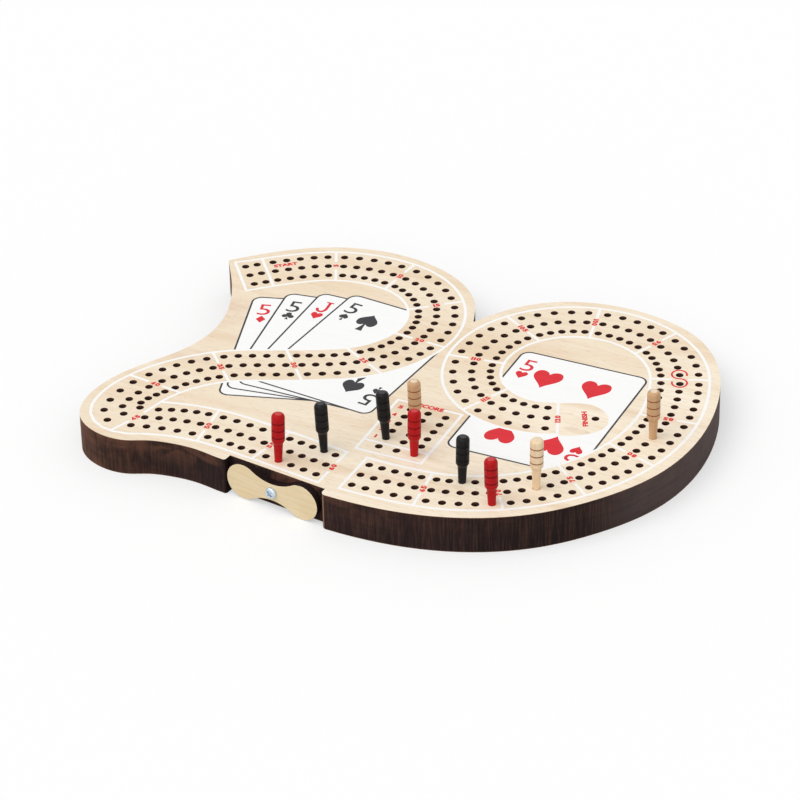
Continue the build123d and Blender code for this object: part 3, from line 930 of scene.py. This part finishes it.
def skunk_mark():
    """Thin S round two of the middle holes at hole 90, from two arcs."""
    bow_x, bow_y = SKUNK_BOW
    first, last = SKUNK_SPAN
    angles = [math.radians(first + (last - first) * step / SKUNK_STEPS) for step in range(SKUNK_STEPS + 1)]
    upper = [Vector((bow_x * math.cos(angle), bow_y + bow_y * math.sin(angle))) for angle in angles]
    lower = [-point for point in reversed(upper)]
    return placed(ribbon(upper + lower[1:], SKUNK_LINE), Vector(SKUNK_MIDDLE), SKUNK_TILT)


def card_marks(card, both_ends):
    """Index, small pip and big pips of a card, at its upper end or both ends."""
    suit, index, middle, tilt = card
    marks = placed(card_index(index), INDEX_PLACE)
    marks += placed(PIPS[suit](*SMALL_PIPS[suit]), SMALL_PIP_PLACE)
    if index != "J" and suit in BIG_PIPS:
        for side in (-1, 1):
            marks += placed(PIPS[suit](*BIG_PIPS[suit]), (side * BIG_PIP_PLACE[0], BIG_PIP_PLACE[1]))
    if both_ends:
        marks += placed(marks, (0, 0), 180)
    return placed(marks, middle, tilt)


def smooth(points, steps=6):
    """Rounded line through points."""
    line = []
    padded = [points[0]] + list(points) + [points[-1]]
    for before, start, end, after in zip(padded, padded[1:], padded[2:], padded[3:]):
        before, start, end, after = (Vector(point) for point in (before, start, end, after))
        line += bezier(start, start + (end - before) / 6, end - (after - start) / 6, end, steps)
    return line + [Vector(points[-1])]


def make_prints():
    """White lines and cards, and the ink on them; a card's marks stop beside the track's lines."""
    white = ink("white_ink", rgb(254, 254, 253), rgb(249, 248, 245))
    red = ink("red_ink", rgb(224, 44, 54), rgb(208, 34, 46))
    black = ink("black_ink", rgb(56, 56, 60), rgb(42, 42, 46))
    cards = FAN + [LONE_CARD]
    outer = [placed([rounded_card()], middle, tilt)[0] for _, _, middle, tilt in cards]
    inner = [placed([rounded_card(CARD_LINE)], middle, tilt)[0] for _, _, middle, tilt in cards]
    lines = lane_lines() + score_lines()
    lobe = smooth(FINISH_LOBE)
    bare = [lobe, disc(*BARE_SPOT)]
    beside_lines = lane_band(BORDER_OFFSET + LINE_WIDTH / 2) + bare
    bare += lane_band(BORDER_OFFSET)

    def is_white(covers):
        on_card = any(len(lines) <= index < len(lines) + len(outer) for index in covers)
        return min(covers) < len(lines) or (on_card and max(covers) < len(lines) + len(outer))

    def is_outline(covers):
        count = len(outer)
        on = [index for index in covers if index < count]
        return bool(on) and max(covers) < 2 * count and max(on) + count not in covers

    printed("white_print", [arranged(lines + outer + bare, is_white)], WHITE_HEIGHT, white)
    outlines = arranged(outer + inner + beside_lines, is_outline)
    marks = {red: [], black: []}
    for card in cards:
        colour = red if card[0] in ("heart", "diamond") else black
        marks[colour] += card_marks(card, card in (FAN[-1], LONE_CARD))
    printed("black_print", [outlines, merged(marks[black], beside_lines)], INK_HEIGHT, black)
    writing = numbers() + words() + [skunk_mark()]
    printed("red_print", [merged(marks[red], beside_lines)] + [merged(text) for text in writing],
            INK_HEIGHT, red)


# ---------------------------------------------------------------- studio
def make_camera():
    """Camera of the photo, from its direction, distance and roll."""
    azimuth, elevation = math.radians(CAMERA_AZIMUTH), math.radians(CAMERA_ELEVATION)
    back = Vector((math.sin(azimuth) * math.cos(elevation), -math.cos(azimuth) * math.cos(elevation),
                   math.sin(elevation)))
    camera = bpy.data.objects.new("camera", bpy.data.cameras.new("camera"))
    bpy.context.scene.collection.objects.link(camera)
    camera.data.lens = CAMERA_LENS
    camera.rotation_mode = "QUATERNION"
    camera.location = Vector(CAMERA_TARGET) + back * CAMERA_DISTANCE
    roll = Matrix.Rotation(math.radians(CAMERA_ROLL), 4, "Z").to_quaternion()
    camera.rotation_quaternion = (-back).to_track_quat("-Z", "Y") @ roll
    bpy.context.scene.camera = camera


def make_lamp(name, place, spread, level):
    """Broad even lamp that shines from a place towards the origin."""
    lamp = bpy.data.lights.new(name, "SUN")
    lamp.energy = level
    lamp.angle = math.radians(spread)
    light = bpy.data.objects.new(name, lamp)
    bpy.context.scene.collection.objects.link(light)
    light.location = place
    light.rotation_mode = "QUATERNION"
    light.rotation_quaternion = (-Vector(place)).to_track_quat("-Z", "Y")


def seen_rays(nodes, links):
    """1 for camera, glossy and transmission rays, 0 for the rest."""
    rays = nodes.new("ShaderNodeLightPath")
    seen = rays.outputs["Is Camera Ray"]
    for kind in ("Is Glossy Ray", "Is Transmission Ray"):
        either = nodes.new("ShaderNodeMath")
        either.operation = "MAXIMUM"
        links.new(seen, either.inputs[0])
        links.new(rays.outputs[kind], either.inputs[1])
        seen = either.outputs[0]
    return seen


def make_world():
    """Even white light; the camera, gloss and glass see it as plain white."""
    world = bpy.data.worlds.new("studio")
    bpy.context.scene.world = world
    world.use_nodes = True
    nodes, links = world.node_tree.nodes, world.node_tree.links
    background = nodes["Background"]
    background.inputs["Color"].default_value = (1, 1, 1, 1)
    level = nodes.new("ShaderNodeMapRange")
    level.inputs["To Min"].default_value = WORLD_LEVEL
    links.new(seen_rays(nodes, links), level.inputs["Value"])
    links.new(level.outputs["Result"], background.inputs["Strength"])


def make_floor():
    """Plain white floor, brought up to the backdrop's white by a glow for camera, gloss and glass."""
    mesh = bpy.data.meshes.new("floor")
    half = FLOOR_SIZE / 2
    corners = [(-half, -half, 0), (half, -half, 0), (half, half, 0), (-half, half, 0)]
    mesh.from_pydata(corners, [], [(0, 1, 2, 3)])
    floor = bpy.data.objects.new("floor", mesh)
    bpy.context.scene.collection.objects.link(floor)
    shader = Shader("floor", 0.9, Specular_IOR_Level=0.0)
    seen = seen_rays(shader.tree.nodes, shader.tree.links)
    shader.surface.inputs["Emission Color"].default_value = (1, 1, 1, 1)
    shader.feed(shader.surface.inputs["Emission Strength"], shader.math("MULTIPLY", seen, FLOOR_GLOW))
    shader.feed(shader.surface.inputs["Base Color"], rgb(190, 190, 190))
    mesh.materials.append(shader.material)


bpy.context.scene.view_settings.view_transform = "Standard"
make_camera()
make_lamp("key", KEY_PLACE, KEY_SPREAD, KEY_LEVEL)
make_lamp("fill", FILL_PLACE, FILL_SPREAD, FILL_LEVEL)
make_world()
make_floor()
finish_board()
finish_cover()
wear("pivot_screw", zinc())
finish_pegs()
make_prints()
